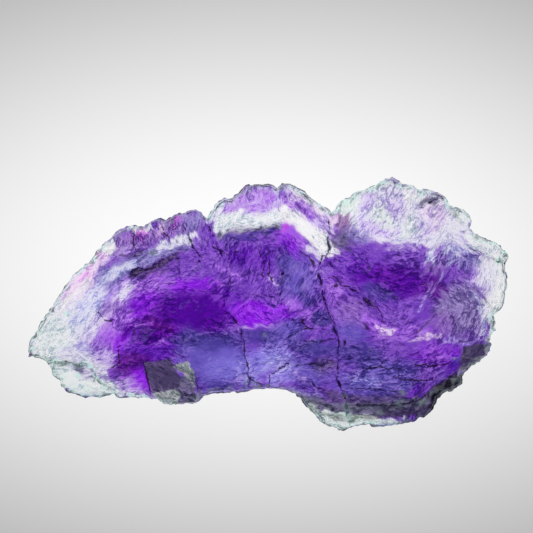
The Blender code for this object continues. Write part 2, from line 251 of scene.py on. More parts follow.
# Colour zones of the stone, in millimetres and in the order in which they cover each other:
# colour, path, half width (a pair for a cloud), turn in degrees, strength, softness
zones = [
    # left lobe
    ("violet", [(-27, -3)], (17, 11), 15, 1.0, 0.5),
    ("mist", [(-46, -4)], (9, 6), 48, 1.0, 0.4),
    ("ice", [(-50, -8)], (6, 4.5), 50, 1.0, 0.4),
    ("blush", [(-46, 2), (-42, 7), (-38, 12)], 2.8, 0, 0.95, 0.4),
    ("pink", [(-45, 4), (-40.5, 9.5), (-37.5, 13)], 2.1, 0, 0.95, 0.5),
    ("white", [(-47, -1), (-42, 5)], 0.9, 0, 0.8, 0.6),
    ("haze", [(-43, -4), (-40, 1), (-36, 6)], 2.0, 0, 0.85, 0.6),
    ("haze", [(-42, -11)], (3.5, 2.2), 40, 0.8, 0.6),
    ("mist", [(-47, -12), (-42, -13), (-39, -15)], 2.0, 0, 0.95, 0.5),
    ("amethyst", [(-34, 14), (-29, 15.5), (-24, 17), (-19, 18.5)], 2.4, 0, 0.95, 0.4),
    ("lilac", [(-32.5, 12.5)], (2.5, 1.6), 30, 0.8, 0.6),
    ("white", [(-36, 13.5)], (1.5, 1.2), 30, 1.0, 0.6),
    ("ice", [(-32, 16.8), (-27, 17.8)], 0.5, 0, 0.8, 0.6),
    ("magenta", [(-29, 16.8)], (1.6, 1.0), 30, 0.75, 0.7),
    ("magenta", [(-21, 18.8)], (1.3, 0.8), 20, 0.5, 0.7),
    ("pink", [(-24.5, 17.5)], (1.0, 1.0), 60, 0.7, 0.7),
    ("steel", [(-17, 18)], (2.6, 1.8), 60, 0.8, 0.6),
    ("steel", [(-37, 5), (-33, 8.5), (-28, 10), (-24, 12.3), (-19, 14)], 1.9, 0, 0.95, 0.5),
    ("haze", [(-38, 4.5), (-34, 8), (-31, 9.2)], 0.8, 0, 0.7, 0.6),
    ("mist", [(-25, 12.8), (-21, 14), (-17, 15)], 0.9, 0, 0.9, 0.6),
    ("slate", [(-33, 12), (-30.5, 11.4), (-28, 12)], 0.5, 0, 0.7, 0.7),
    # Painted shade under the ledge below the steel band, here and in the next zone
    ("ink", [(-31.5, 7.3), (-28, 7.2), (-25, 8.6), (-22, 10.6), (-20, 10.6)], 0.6, 0, 0.9, 0.6),
    ("slate", [(-30, 6.4), (-25, 7), (-21, 9)], 0.8, 0, 0.6, 0.7),
    ("lilac", [(-33.5, 2.5)], (4.2, 2.6), 40, 0.95, 0.5),
    ("mist", [(-33, 3)], (2.6, 0.9), 40, 0.8, 0.6),
    ("amethyst", [(-35.5, -1)], (2.6, 2), 40, 0.6, 0.6),
    ("orchid", [(-26, 4.5)], (5, 2.4), 15, 0.8, 0.6),
    ("violet", [(-18, 8.5)], (5, 2.4), 0, 0.9, 0.6),
    ("vivid", [(-21, 4.5), (-16, 5), (-12, 3.5)], 1.3, 0, 0.85, 0.6),
    ("orchid", [(-17, 2.6), (-13.5, 2.6), (-11, 4)], 0.5, 0, 0.7, 0.7),
    ("vivid", [(-28.5, -0.5)], (4.2, 2.6), 30, 0.9, 0.5),
    ("lilac", [(-38, -6), (-36, -3.5)], 2.6, 0, 0.95, 0.5),
    ("mist", [(-39, -5.5)], (2.6, 1.1), 50, 0.8, 0.6),
    ("orchid", [(-34, -6)], (5, 4), 50, 0.95, 0.4),
    ("vivid", [(-32.5, -8)], (4.5, 2), 60, 0.85, 0.6),
    ("orchid", [(-34, -3.6)], (2.6, 2), 40, 0.7, 0.7),
    ("deep", [(-17, -2)], (8.5, 4.8), -5, 1.0, 0.4),
    ("deep", [(-26, -5.5)], (6.5, 3), 15, 1.0, 0.4),
    ("plum", [(-27, -3.6), (-23, -5)], 1.2, 0, 0.9, 0.6),
    ("orchid", [(-29.5, -4.4), (-26, -3.8)], 0.4, 0, 0.8, 0.6),
    ("orchid", [(-25, -8), (-22, -6.6), (-20.3, -7.6)], 0.35, 0, 0.8, 0.6),
    ("vivid", [(-30, -9.6), (-26, -9.6), (-23, -8.6)], 0.6, 0, 0.6, 0.7),
    ("royal", [(-27, -11)], (7.5, 2.4), 10, 0.9, 0.5),
    ("plum", [(-31, -13.5)], (4, 2.2), 15, 0.9, 0.5),
    ("lilac", [(-37, -12)], (2.6, 2.4), 50, 0.9, 0.5),
    ("vivid", [(-29.5, -17)], (3.2, 2.6), 10, 0.95, 0.5),
    ("orchid", [(-34, -16), (-31, -16.6)], 1.0, 0, 0.7, 0.6),
    ("lilac", [(-34.5, -18), (-30, -19.6)], 1.6, 0, 0.95, 0.5),
    ("mist", [(-33, -20.6), (-28, -21.2)], 0.7, 0, 0.95, 0.5),
    ("indigo", [(-18, -8.5)], (3.5, 3), 30, 0.9, 0.6),
    # pale shelf at the left tip
    ("ice", [(-49, -14), (-46, -17), (-42, -19), (-37, -20)], 2.6, 0, 1.0, 0.25),
    ("mist", [(-45, -15), (-40, -18)], 0.8, 0, 0.7, 0.6),
    ("sage", [(-43.2, -14.2), (-42.4, -15.6)], 0.7, 0, 0.7, 0.6),
    ("sage", [(-40, -16.6), (-39.6, -17.6)], 0.5, 0, 0.7, 0.6),
    ("sage", [(-37, -18.6), (-36.8, -19.6)], 0.4, 0, 0.7, 0.6),
    ("moss", [(-52, -12.7), (-48, -13), (-44, -13)], 0.35, 0, 0.8, 0.6),
    # smooth panel
    ("blue", [(-12, -13)], (8, 6.5), 0, 0.95, 0.35),
    ("periwinkle", [(-10, -14.5)], (5, 3.2), 0, 0.55, 0.7),
    ("indigo", [(-13, -8)], (7, 1.8), 0, 0.85, 0.7),
    ("periwinkle", [(-4, -15)], (3.5, 3.2), 0, 0.65, 0.6),
    ("indigo", [(-14, -18.5), (-8, -18.6)], 0.7, 0, 0.6, 0.7),
    # middle lobe
    ("violet", [(-4, 9)], (8.5, 8), 0, 1.0, 0.4),
    ("lilac", [(-4, 22.5)], (9, 4.2), 12, 1.0, 0.4),
    ("mist", [(-11.5, 19.5)], (2.6, 3), 50, 0.95, 0.5),
    ("orchid", [(-7, 23.5), (-3, 25), (1, 24.5)], 1.0, 0, 0.8, 0.6),
    ("orchid", [(-9, 21), (-3, 22.5), (2, 24)], 0.8, 0, 0.6, 0.6),
    ("lilac", [(4, 25.5), (9, 22), (13, 19)], 3.0, 0, 1.0, 0.4),
    ("blush", [(6, 25.5), (10, 23), (13, 20.5)], 1.6, 0, 0.9, 0.5),
    ("violet", [(3, 25.5), (4, 24)], 0.7, 0, 0.7, 0.6),
    ("orchid", [(4, 23.4), (7, 22.6), (10, 20.4)], 0.8, 0, 0.8, 0.5),
    ("moss", [(-11, 15.5), (-7, 17), (-3, 17.4), (1, 17.2)], 0.9, 0, 0.75, 0.6),
    ("ice", [(-10, 18), (-6, 19.3), (-1, 19.3), (3, 19.5)], 1.6, 0, 0.95, 0.5),
    ("white", [(3.5, 20.5), (6, 19.5), (9, 17), (12, 15), (13.3, 12.5)], 1.9, 0, 1.0, 0.4),
    ("indigo", [(-9, 14.5), (-5, 15.5), (0, 16)], 0.9, 0, 0.7, 0.6),
    ("orchid", [(4, 16.5), (6, 14)], 1.9, 0, 0.9, 0.5),
    ("magenta", [(3.6, 17)], (0.8, 1.4), 0, 0.55, 0.7),
    ("vivid", [(4.5, 12.8)], (2.6, 1.8), -30, 0.9, 0.5),
    ("mist", [(9, 13), (11.5, 11.5)], 1.1, 0, 0.8, 0.5),
    ("royal", [(-6, 11)], (3, 2), 20, 0.9, 0.5),
    ("royal", [(-1, 10)], (2, 3), 0, 0.7, 0.6),
    ("blue", [(6.5, 6)], (4.2, 5.5), 0, 0.9, 0.5),
    ("indigo", [(3.5, 8)], (1.4, 4.5), 0, 0.8, 0.6),
    ("violet", [(-3, 5)], (3, 3.6), 0, 0.9, 0.5),
    ("orchid", [(-12, 8.2), (-9, 7), (-7, 6)], 0.6, 0, 0.85, 0.6),
    ("lilac", [(0, 5.6), (2.6, 5)], 0.4, 0, 0.9, 0.6),
    ("lilac", [(10, 9.5), (11, 7)], 0.5, 0, 0.7, 0.6),
    ("royal", [(-8.5, 1)], (2.2, 3.6), 20, 0.9, 0.5),
    ("vivid", [(-3, -2)], (5.6, 3), -8, 1.0, 0.35),
    ("vivid", [(3, -2)], (2.6, 2.2), 0, 0.8, 0.5),
    ("lilac", [(-6, -5.3), (-2, -4.6), (1, -5)], 0.35, 0, 0.7, 0.7),
    ("orchid", [(5, 0.5), (8, -1), (9, -3)], 1.5, 0, 0.8, 0.5),
    ("indigo", [(9.5, 1.6)], (3, 1.3), 0, 0.85, 0.5),
    ("blue", [(3.5, -6.5)], (5.5, 2.6), 25, 0.95, 0.4),
    ("indigo", [(-2, -7)], (4, 1.6), 0, 0.85, 0.6),
    ("indigo", [(10, -9.5)], (6.5, 2), -4, 0.95, 0.5),
    ("periwinkle", [(0, -12)], (5, 2.6), 10, 0.9, 0.6),
    ("periwinkle", [(2, -17), (6, -15.5)], 1.8, 0, 0.9, 0.5),
    ("blue", [(9, -15)], (5, 3.6), -20, 0.9, 0.5),
    ("lilac", [(6, -15.8), (9, -17.4)], 0.6, 0, 0.7, 0.6),
    ("slate", [(13, -14)], (2.2, 1.8), 0, 0.7, 0.6),
    ("haze", [(2, -14)], (3.4, 2), 10, 0.45, 0.7),
    # right plate
    ("violet", [(32, 1)], (20, 14), 0, 1.0, 0.25),
    ("mist", [(30, 20)], (16, 7.4), -8, 1.0, 0.25),
    ("paleMoss", [(18, 22.5)], (2.6, 2.2), 57, 0.9, 0.5),
    ("lilac", [(23, 23)], (2.2, 1.5), 57, 0.85, 0.6),
    ("paleMoss", [(26, 19)], (2.2, 2), 57, 0.9, 0.5),
    ("lilac", [(22, 18), (27, 16)], 1.5, 0, 0.8, 0.6),
    ("amethyst", [(27.5, 27)], (1.4, 1.0), 20, 0.8, 0.6),
    ("lilac", [(29, 22)], (2.6, 3.2), 57, 0.8, 0.6),
    ("paleMoss", [(22, 25.5), (25, 27.5), (31, 27)], 0.8, 0, 0.8, 0.6),
    ("white", [(33, 24.2)], (1.9, 1.5), -30, 1.0, 0.5),
    ("blush", [(37, 20)], (2.2, 3.2), 10, 0.9, 0.5),
    ("lilac", [(35, 17)], (3, 1.8), 20, 0.7, 0.6),
    ("sage", [(35.5, 23), (38, 24.2)], 0.7, 0, 0.8, 0.5),
    ("paleMoss", [(31.5, 17.5)], (2.2, 2), 57, 0.7, 0.6),
    ("blush", [(39.5, 22)], (1.4, 1.5), 50, 0.8, 0.6),
    ("moss", [(42.5, 20.5)], (1.6, 1.4), 50, 0.7, 0.6),
    ("ice", [(44.5, 19.5)], (1.9, 1.8), -20, 0.95, 0.5),
    ("mist", [(44.5, 14.5)], (4.2, 2.2), -25, 0.95, 0.5),
    ("lilac", [(44.5, 15.5)], (1.5, 1.2), 0, 0.7, 0.6),
    ("wine", [(16.6, 18.5)], (2, 1.7), -50, 0.6, 0.7),
    ("pink", [(14.5, 19)], (0.9, 1.9), 0, 0.7, 0.6),
    ("sage", [(16.5, 14.2)], (2.4, 1.9), 20, 0.75, 0.6),
    ("steel", [(20.5, 15)], (2.6, 1.5), -10, 0.8, 0.6),
    ("violet", [(27, 11)], (11, 2.6), 2, 1.0, 0.3),
    ("lilac", [(28, 12.8), (33, 12.6)], 0.7, 0, 0.7, 0.6),
    ("royal", [(20, 8)], (5, 2.4), -5, 0.7, 0.6),
    ("deep", [(27, 6.4)], (7, 2.2), 0, 0.85, 0.5),
    ("deep", [(33, 4.4)], (7.5, 2), 3, 0.9, 0.5),
    ("indigo", [(25, 2.6)], (4, 1.6), 0, 0.85, 0.6),
    ("plum", [(38, 3.6)], (2.2, 2.6), 50, 0.9, 0.6),
    ("amethyst", [(37.5, 9)], (3.2, 2.2), 50, 0.9, 0.5),
    ("haze", [(36.3, 11)], (1.4, 1.6), 50, 0.95, 0.5),
    ("steel", [(42, 10.5)], (3.2, 2.2), -15, 0.9, 0.5),
    ("haze", [(42, 12.3)], (3, 0.9), -10, 0.7, 0.6),
    ("violet", [(42.5, 5)], (3, 1.6), 0, 0.8, 0.6),
    ("steel", [(47, 9.5)], (3.2, 2), -25, 0.85, 0.6),
    ("lilac", [(47, 5.5)], (3, 2), 20, 0.85, 0.6),
    ("orchid", [(15, 3.5)], (2.2, 3), 0, 0.8, 0.5),
    ("amethyst", [(19, -2)], (4, 2.6), -10, 0.8, 0.6),
    ("violet", [(31, -1)], (7, 2.4), -10, 0.9, 0.5),
    ("blue", [(18.5, -6)], (3.6, 2.4), 0, 0.85, 0.6),
    ("orchid", [(22, -3.4), (26, -6), (30, -8)], 1.3, 0, 0.9, 0.5),
    ("blush", [(24.5, -5.4), (27, -6.6)], 0.5, 0, 0.8, 0.6),
    ("ink", [(22, -4.6)], (0.9, 0.5), -30, 0.8, 0.6),
    ("ink", [(22.3, 0.3), (24.2, -0.4)], 0.4, 0, 0.8, 0.6),
    ("orchid", [(31, -5.5), (35, -6.6)], 1.4, 0, 0.85, 0.5),
    ("dusk", [(44, -1)], (6.5, 6), 0, 0.95, 0.35),
    ("amethyst", [(39, -4)], (3, 2.4), 0, 0.8, 0.6),
    ("haze", [(47, 2), (48.6, -2), (48.4, -6)], 0.6, 0, 0.7, 0.6),
    ("ice", [(47.5, 14.5), (52, 12.5), (53.5, 10)], 2.2, 0, 0.95, 0.5),
    ("white", [(51.5, 9), (52.5, 4), (51.5, -1)], 2.6, 0, 1.0, 0.5),
    ("mist", [(49.5, 7)], (2, 4), 10, 0.8, 0.7),
    ("paleMoss", [(50.5, -3), (50.8, -7)], 0.9, 0, 0.95, 0.5),
    ("haze", [(40, -7.6), (44, -8.2), (49, -8.4)], 0.5, 0, 0.45, 0.6),
    ("blush", [(32.5, -8.3), (36, -7.3), (38.5, -7)], 0.5, 0, 0.8, 0.6),
    # lower right lobe and foot
    ("indigo", [(20, -11)], (6, 2.6), 0, 0.85, 0.6),
    ("indigo", [(23, -12.5)], (3, 2), -10, 1.0, 0.5),
    ("violet", [(31, -10.5)], (5, 2.4), -10, 0.85, 0.6),
    ("vivid", [(38, -11.5)], (5, 2.6), 0, 0.7, 0.5),
    ("orchid", [(38, -11)], (3.5, 1.6), -10, 0.6, 0.7),
    ("royal", [(42.3, -14.5)], (1.6, 3), -20, 0.95, 0.5),
    ("blue", [(27, -17)], (12, 4.4), 2, 1.0, 0.4),
    ("periwinkle", [(19, -17), (24, -17.4)], 1.2, 0, 0.85, 0.6),
    ("violet", [(36.5, -15.5)], (4, 1.9), 20, 0.9, 0.5),
    ("royal", [(35, -19.5)], (4.5, 1.6), 30, 0.9, 0.5),
    ("slate", [(14, -20.5), (22, -21.6), (30, -21.6)], 1.1, 0, 0.7, 0.6),
    ("ink", [(44, -17.6), (41.5, -18.6), (39, -20.2), (37.4, -22.6), (36.8, -25.4)], 1.8, 0, 1.0, 0.35),
    ("mist", [(44.4, -18.6)], (0.7, 0.4), 20, 0.9, 0.5),
    ("steel", [(6.5, -19.6), (11, -20.4)], 0.7, 0, 0.8, 0.6),
    ("sage", [(8, -21.5), (13, -23), (20, -23.6), (28, -23.6), (35, -23)], 1.3, 0, 0.95, 0.5),
    ("slate", [(24, -25), (31, -25), (36, -24)], 1.0, 0, 0.95, 0.5),
    ("moss", [(9, -23), (12, -25.6), (18, -26), (24, -26.2)], 1.2, 0, 0.95, 0.5),
    ("moss", [(14, -27.2), (17, -28.6), (20, -27.6)], 1.2, 0, 0.95, 0.5),
    ("ice", [(11.5, -25.8), (15, -27.6), (19, -27.4), (25, -27), (30, -27)], 0.7, 0, 0.95, 0.6),
    ("paleMoss", [(13, -24.4), (17, -24.8)], 0.4, 0, 0.8, 0.6),
]

# Flat broken faces that show one colour each: colour, corners, strength
facets = [
    ("slate", [(-28.5, -13), (-22.5, -12.3), (-21.2, -14.8), (-19.5, -17.5), (-21, -19.5), (-26.5, -20)], 1),
    ("moss", [(-22, -14), (-18.5, -12.8), (-17, -15.5), (-16.4, -19), (-18, -18), (-19.5, -15.6)], 0.85),
    (
        "sage",
        [(-19.6, -15.8), (-17.4, -17.8), (-16.6, -20), (-16, -22.4), (-22, -22.8), (-20.8, -19.4)],
        0.85,
    ),
    ("moss", [(-26.5, -20), (-21, -19.2), (-20, -20.5), (-21, -22.8), (-25, -22.4)], 0.9),
    ("slate", [(44, -9.4), (48, -8.6), (50, -9.6), (49, -12.6), (45.4, -15.4), (43.2, -15)], 1.0),
    ("indigo", [(9.5, -3.5), (10.6, -1.6), (12.6, -1), (14.4, -3.6), (13, -4.8), (10.6, -4.6)], 0.9),
]

# Straight thin lines where a flat seam inside the stone catches the light
lightLines = [
    [(33.6, -1.5), (36.6, 5)],
    [(35.8, 1.5), (39, 7)],
    [(34.8, 9), (37.4, 13)],
    [(40.6, 9), (42, 12.4)],
]

# Where the form's open cracks run, so that its other valleys stay clear
openCracks = [
    [(-14, 20), (-13.4, 17), (-12, 13.5), (-11, 12)],
    [(-9.2, 8), (-9, 5.5)],
    [(-9.8, 0.5), (-9, -2), (-7.5, -3.8), (-6.2, -6)],
    [(14.2, 21), (13.7, 16), (13.4, 12.6), (11.6, 9.8), (11.4, 6), (12.2, 2), (12.9, -0.5)],
    [(12.9, -0.5), (14.5, -4), (15.2, -7), (15.7, -9)],
    [(15.5, -14), (16, -18), (17, -20.6)],
    [(17, -20.6), (17.8, -24), (18.5, -27.5)],
    [(13, 11), (14.4, 8.6), (16.2, 7.2)],
    [(3, 7), (3, 1), (3.4, -1.2), (5.8, -3.4), (9, -5.2)],
    [(-31.5, 7.2), (-29.5, 8), (-27, 7.8), (-25, 9.2), (-23.5, 11), (-21, 11), (-20.2, 6)],
    [(-19, 17), (-17, 12.8), (-15.5, 10), (-14, 12.6)],
    [(21, 0.3), (22.5, 0), (24.4, -0.6), (25.8, -2.6)],
    [(15.6, 4), (18.6, 3.4), (21.4, 2.9)],
    [(24, -14.2), (25.8, -13.2), (27.5, -11.8)],
    [(17.2, -8.6), (17.5, -11), (18.2, -11.8)],
    [(43.2, 16.9), (46.2, 17)],
    [(45.6, 13), (47.8, 12), (50, 10.8), (53, 9.6)],
    [(34.2, 22), (36.5, 23.2), (38.5, 24)],
    [(-43.4, -14), (-42.4, -15.3), (-40.2, -17), (-39.2, -18)],
]

# Hair cracks, too fine for the solid: path and half width in millimetres
cracks = [
    ([(-18, 15), (-16.8, 12.4), (-15, 10.6)], 0.22),
    ([(-30.6, 17), (-31, 14.6), (-29.8, 12)], 0.2),
    ([(-25, 19), (-24, 16.6), (-22.6, 14.8)], 0.2),
    ([(-12.6, 13), (-9.4, 11.4), (-7, 12.2)], 0.2),
    ([(-5.4, -8), (-5.3, -12), (-4.8, -15), (-4.4, -18.4)], 0.16),
    ([(-4.6, -16.6), (-3, -17.8), (-1.6, -18.4)], 0.3),
    ([(0, -17.4), (0.2, -16), (2.6, -14.6), (4.4, -13.4)], 0.22),
    ([(-2.6, 12.4), (-1, 10), (-1.4, 6)], 0.2),
    ([(0.2, 10.6), (0, 7), (1, 5.4)], 0.2),
    ([(7, 12), (9, 10.6), (10.4, 8.8)], 0.26),
    ([(4.4, -7.6), (7.4, -5.6), (10, -5.4)], 0.2),
    ([(8, -8), (12, -8.4), (15, -7.6)], 0.2),
    ([(6, -14), (9, -13.2), (12.6, -13.8)], 0.2),
    ([(9.8, -17.6), (11, -19), (13, -19.4)], 0.24),
    ([(19.6, 3.4), (16.6, 4.2), (14.6, 6.4)], 0.24),
    ([(21, -14.4), (25, -14), (30, -14.8)], 0.24),
    ([(33, -13.6), (37, -13.8), (41, -13.2)], 0.26),
    ([(28, -16.4), (33, -17.2), (38, -16.4)], 0.2),
    ([(17, -19.2), (23, -19), (29, -19.8)], 0.2),
    ([(20, -22.8), (27, -23), (33, -22.4), (37, -20)], 0.3),
    ([(-34, -10), (-33.4, -13), (-35.6, -14.4)], 0.2),
    ([(-52.4, -12.8), (-49, -13), (-45, -13.2), (-43.6, -14)], 0.22),
    ([(-38.6, -1.6), (-37, -3.4), (-35, -3.6)], 0.2),
    ([(-28.4, -13), (-26.6, -20)], 0.24),
]

# Directions of the breakage: place, and the angle that its grain runs at
grainRuns = [
    ((-50, -8), 48), ((-44, 1), 54), ((-37, 9), 46), ((-43, -17), 12), ((-30, 17), 98), ((-18, 18), 104),
    ((-30, 9), 28), ((-20, 10), 12), ((-36, -5), 58), ((-28, -2), 24), ((-18, -3), -12), ((-30, -13), 20),
    ((-12, -13), 4), ((-22, -17), -24), ((-9, 21), 60), ((0, 25), 88), ((9, 23), -42), ((-3, 18), 12),
    ((8, 16), -42), ((-5, 10), 68), ((-8, 3), 40), ((-2, -3), -24), ((5, 4), 64), ((4, -7), 32),
    ((1, -15), 18), ((10, -13), 8), ((20, 21), 57), ((29, 22), 60), ((38, 20), 52), ((44, 15), -30),
    ((50, 7), 78), ((20, 10), -14), ((31, 8), 4), ((38, 10), 60), ((24, 0), -28), ((33, -2), 30),
    ((43, 2), -34), ((44, -4), 68), ((21, -11), 4), ((30, -12), 14), ((39, -13), 38), ((27, -19), 2),
    ((22, -26), 3), ((37, -22), 52), ((47, -12), 58),
]

# Patches with less relief, or below zero with more: place, half widths, how much of it is gone
smoothPatches = [
    ((-12.3, -13.2), (7.5, 6.5), 0.75),
    ((-24.5, -16), (3.5, 3.5), 0.6),
    ((47.2, -12.3), (3.5, 4), 0.7),
    ((27, -18), (12, 5), -0.35),
    ((33, 21), (15, 6), -0.3),
    ((-24, 17), (9, 3), -0.4),
    ((-19, -18), (3, 4), -0.6),
    ((-17, -2), (7, 4), 0.45),
    ((-44, -17.5), (7, 3), 0.55),
    ((1, -14), (6, 3.5), 0.45),
    ((7, 17.5), (5, 2.5), 0.7),
    ((-46, -5), (6, 6), 0.35),
    ((51.5, 6), (3, 7), 0.35),
    ((41.9, -19), (4, 3), 0.6),
]

# How ragged the borders of the colours are, in millimetres
fraySetup = {
    "broad": 1.1,
    "small": 0.6,
    "strand": 2.2,  # along the grain
    "strandLength": 3.5,  # how many times longer than wide the strands are
    "grain": (2.2, 0.6),  # between two runs of grain: broad and small
    "facet": 0.4,
    "lineStrength": 0.45,
    "lineWidth": (0.12, 0.4),  # where a light line starts to fade and where it ends
}


def fade(low, high, values):
    share = np.clip((values - low) / (high - low), 0, 1)
    return share * share * (3 - 2 * share)


def gapTo(points, path):
    gap = np.full(len(points), 1e9)
    for start, end in zip(path[:-1], path[1:]):
        run = np.subtract(end, start)
        share = np.clip((points - start) @ run / (run @ run), 0, 1)
        gap = np.minimum(gap, np.linalg.norm(points - start - share[:, None] * run, axis=1))
    return gap


def within(points, corners):
    inside = np.zeros(len(points), bool)
    for (x0, y0), (x1, y1) in zip(corners, corners[1:] + corners[:1]):
        if y0 != y1:
            crosses = (y0 > points[:, 1]) != (y1 > points[:, 1])
            inside ^= crosses & (points[:, 0] < x0 + (points[:, 1] - y0) / (y1 - y0) * (x1 - x0))
    return inside


def turned(points, angle):
    # How far each place lies along and across a direction
    along = points[:, 0] * np.cos(angle) + points[:, 1] * np.sin(angle)
    across = points[:, 1] * np.cos(angle) - points[:, 0] * np.sin(angle)
    return along, across


def wobble(points, size, shift):
    # Two smooth random numbers for each place, between about -1 and 1
    spots = [Vector((x / size + shift, y / size, shift)) for x, y in points]
    return np.array([noise.noise_vector(spot) for spot in spots])[:, :2]


def grainAt(points):
    # The angle of the nearest run of grain, so the grain changes along sharp ragged borders
    broad, small = fraySetup["grain"]
    bent = points + broad * wobble(points, 5, 1.5) + small * wobble(points, 1.4, 7.5)
    gaps = np.array([np.hypot(*(bent - place).T) for place, angle in grainRuns])
    return np.radians([angle for place, angle in grainRuns])[gaps.argmin(axis=0)]


def zoneColours(points):
    # Colour of the stone at each place, with the zones' borders frayed by noise, most of it along the grain
    broad, small = wobble(points, 7, 3.1), wobble(points, 1.6, 8.7)
    grain = grainAt(points)
    along, across = turned(points, grain)
    strands = wobble(np.c_[along / fraySetup["strandLength"], across], 0.9, 6.1)[:, :1]
    frayed = points + fraySetup["broad"] * broad + fraySetup["small"] * small
    frayed += fraySetup["strand"] * strands * np.c_[np.cos(grain), np.sin(grain)]
    colours = np.tile(palette["violet"], (len(points), 1))

    def cover(name, share):
        colours[:] += share[:, None] * (np.array(palette[name]) - colours)

    for name, path, width, turn, strength, softness in zones:
        if len(path) == 1:
            along, across = turned(frayed - path[0], math.radians(turn))
            reach = np.hypot(along / width[0], across / width[1])
        else:
            reach = gapTo(frayed, path) / width
        cover(name, strength * (1 - fade(1 - softness, 1 + softness, reach)))
    for path in lightLines:
        cover("haze", fraySetup["lineStrength"] * (1 - fade(*fraySetup["lineWidth"], gapTo(points, path))))
    for name, corners, strength in facets:
        cover(name, strength * within(points + fraySetup["facet"] * small, corners))
    return np.clip(colours, 0, 1) ** 2.2


def split(form):
    # Cuts every edge that is longer than its own side of the slab allows
    form.normal_update()
    edges = []
    for edge in form.edges:
        top = max(face.normal.z for face in edge.link_faces)
        low = min(face.normal.z for face in edge.link_faces)
        side = "rimStep"
        if top > slabSetup["broadUp"]:
            side = "broadStep"
        elif low < slabSetup["underUp"]:
            side = "underStep"
        if edge.calc_length() > slabSetup[side]:
            edges.append(edge)
    bmesh.ops.subdivide_edges(form, edges=edges, cuts=1, use_grid_fill=True)
    bmesh.ops.triangulate(form, faces=[face for face in form.faces if len(face.verts) > 3])


def markCreases(form):
    # How far each point of the broad face lies above its neighbours, in millimetres, and how it leans
    form.normal_update()
    crease = form.verts.layers.float.new("crease")
    lean = form.verts.layers.float.new("lean")
    for vert in form.verts:
        vert[lean] = vert.normal.dot(slabSetup["litFrom"])
        if vert.normal.z > 0.3:
            around = [edge.other_vert(vert).co.z for edge in vert.link_edges]
            vert[crease] = (vert.co.z - sum(around) / len(around)) / mm


def roughen(form):
    # Small chips and ripples over every face, and teeth along the rim
    form.normal_update()
    moves = []
    for vert in form.verts:
        spot = vert.co / slabSetup["chipSize"]
        spot += slabSetup["chipBend"] * noise.noise_vector(spot * 0.7)
        gaps, places = noise.voronoi(spot)
        slope = noise.noise_vector(places[0] * 3.7)
        rise = slabSetup["chipHeight"] * slope.dot(spot - places[0])
        rise += slabSetup["rippleHeight"] * noise.fractal(vert.co / slabSetup["rippleSize"], 0.6, 2.0, 3)
        move = vert.normal * rise
        rim = 1 - min(abs(vert.normal.z) / 0.7, 1)
        if rim > 0:
            side = Vector((vert.normal.x, vert.normal.y, 0))
            move += side * slabSetup["rimTooth"] * rim * noise.noise(vert.co / slabSetup["toothSize"])
        moves.append(move)
    for vert, move in zip(form.verts, moves):
        vert.co += move
        vert.co.z = max(vert.co.z, 0)


def cutSlab():
    form = bmesh.new()
    form.from_mesh(bpy.data.objects["fluorite_slab"].data)
    bmesh.ops.remove_doubles(form, verts=form.verts, dist=0.001 * mm)
    markCreases(form)
    for _ in range(slabSetup["rounds"]):
        split(form)
    roughen(form)
    data = bpy.data.meshes.new("fluorite")
    form.to_mesh(data)
    form.free()
    print("slab cut:", len(data.polygons), "triangles")
    return data


def keep(data, name, kind, domain, values):
    field = {"FLOAT": "value", "FLOAT_COLOR": "color", "FLOAT_VECTOR": "vector"}[kind]
    layer = data.attributes.new(name, kind, domain)
    layer.data.foreach_set(field, np.ravel(values).astype(np.float32))


def rows(source, field, kind=float):
    # Three numbers for each point or triangle
    values = np.empty(len(source) * 3, kind)
    source.foreach_get(field, values)
    return values.reshape(-1, 3)


def nearRim(verts, up):
    # How near each place is to the slab's outline, seen from above
    flat = verts[:, :2]
    ring = flat[(np.abs(up) < 0.45) & (verts[:, 2] < 3)]
    tree = kdtree.KDTree(len(ring))
    for i, (x, y) in enumerate(ring):
        tree.insert((x, y, 0), i)
    tree.balance()
    gap = np.array([tree.find((x, y, 0))[2] for x, y in flat])
    return 1 - fade(*slabSetup["rimReach"], gap + slabSetup["rimFray"] * wobble(flat, 1.2, 2.5)[:, 0])


def colourSlab(data):
    verts = rows(data.vertices, "co") / mm
    up = rows(data.vertices, "normal")[:, 2]
    flat = verts[:, :2]
    keep(data, "zones", "FLOAT_COLOR", "POINT", np.c_[zoneColours(flat), np.ones(len(flat))])

    bent = flat + 0.5 * wobble(flat, 1.5, 5.5) + 0.25 * wobble(flat, 0.6, 9.5)
    hair, near = np.zeros(len(flat)), np.zeros(len(flat))
    for path, width in cracks:
        hair = np.maximum(hair, 1 - fade(*slabSetup["hairReach"], gapTo(bent, path) / width))
    for path in openCracks:
        near = np.maximum(near, 1 - fade(*slabSetup["crackReach"], gapTo(flat, path)))
    grit = slabSetup["relief"] + slabSetup["reliefSpread"] * wobble(flat, 5, 4.5)[:, 0]
    for place, size, share in smoothPatches:
        reach = np.hypot(*((bent - place) / size).T)
        grit *= 1 - share * (1 - fade(0.6, 1.2, reach))
    keep(data, "marks", "FLOAT_COLOR", "POINT", np.c_[hair, nearRim(verts, up), grit, fade(0.1, 0.6, -up)])
    keep(data, "near", "FLOAT", "POINT", near)

    # Places along and across the grain, which is one direction for each triangle
    corners = rows(data.polygons, "vertices", np.int32)
    grain = np.repeat(grainAt(flat[corners].mean(axis=1)), 3)
    places = verts[corners.ravel()]
    keep(data, "grain", "FLOAT_VECTOR", "CORNER", np.c_[(*turned(places, grain), places[:, 2])])
    print("slab coloured")


def makeSlab():
    data = cutSlab()
    colourSlab(data)
    slab = bpy.data.objects.new("fluorite", data)
    bpy.context.scene.collection.objects.link(slab)
    return slab


